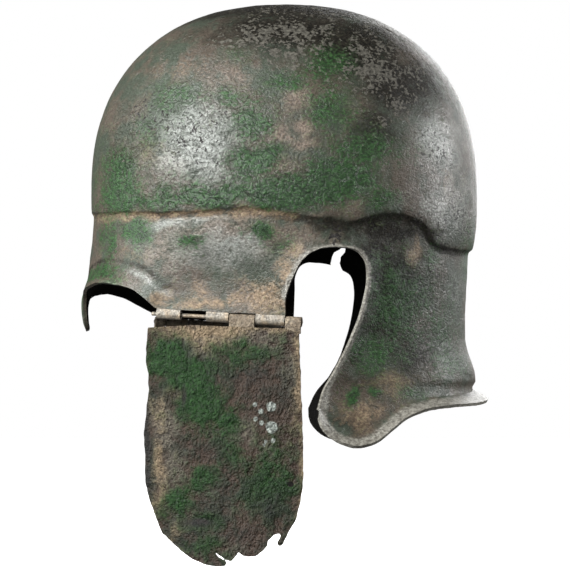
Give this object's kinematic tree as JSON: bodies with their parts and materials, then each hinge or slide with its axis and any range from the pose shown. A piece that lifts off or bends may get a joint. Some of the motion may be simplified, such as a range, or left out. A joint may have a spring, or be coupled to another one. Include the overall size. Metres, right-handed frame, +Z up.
{
  "type": "chalcidian helmet",
  "caption": "Ancient bronze helmet: rounded bowl with a brow step, short nasal, arched eye and ear openings, flared neck guard and hinged cheek guards.",
  "frame": {"origin": "the inside of the crown, at the top of the bowl's hollow, where the helmet sits on a head", "axes": "+Z up through the crown, the face towards -Y, the wearer's left towards +X"},
  "size_m": [0.1888, 0.2442, 0.3301],
  "materials": {
    "patinated_bronze": "hammered bronze sheet with a smooth green, brown and grey patina",
    "crusted_bronze": "hammered bronze sheet under a rough green and purple-brown corrosion crust",
    "worn_bronze": "bronze rod with a worn grey-brown surface"
  },
  "bodies": {
    "helmet": {"helmet_shell": "patinated_bronze", "hinge_pin_left": "worn_bronze", "hinge_pin_right": "worn_bronze"},
    "cheek_left": {"cheek_guard_left": "crusted_bronze"},
    "cheek_right": {"cheek_guard_right": "crusted_bronze"}
  },
  "joints": [
    {"name": "cheek_left_hinge", "type": "hinge", "parent": "helmet", "child": "cheek_left", "pos_m": [0.06583, -0.0737, -0.1863], "axis": [-0.2329, -0.9705, 0.0628], "range_deg": [-20, 90]},
    {"name": "cheek_right_hinge", "type": "hinge", "parent": "helmet", "child": "cheek_right", "pos_m": [-0.06583, -0.0737, -0.1863], "axis": [-0.2329, 0.9705, -0.0628], "range_deg": [-20, 90]}
  ]
}
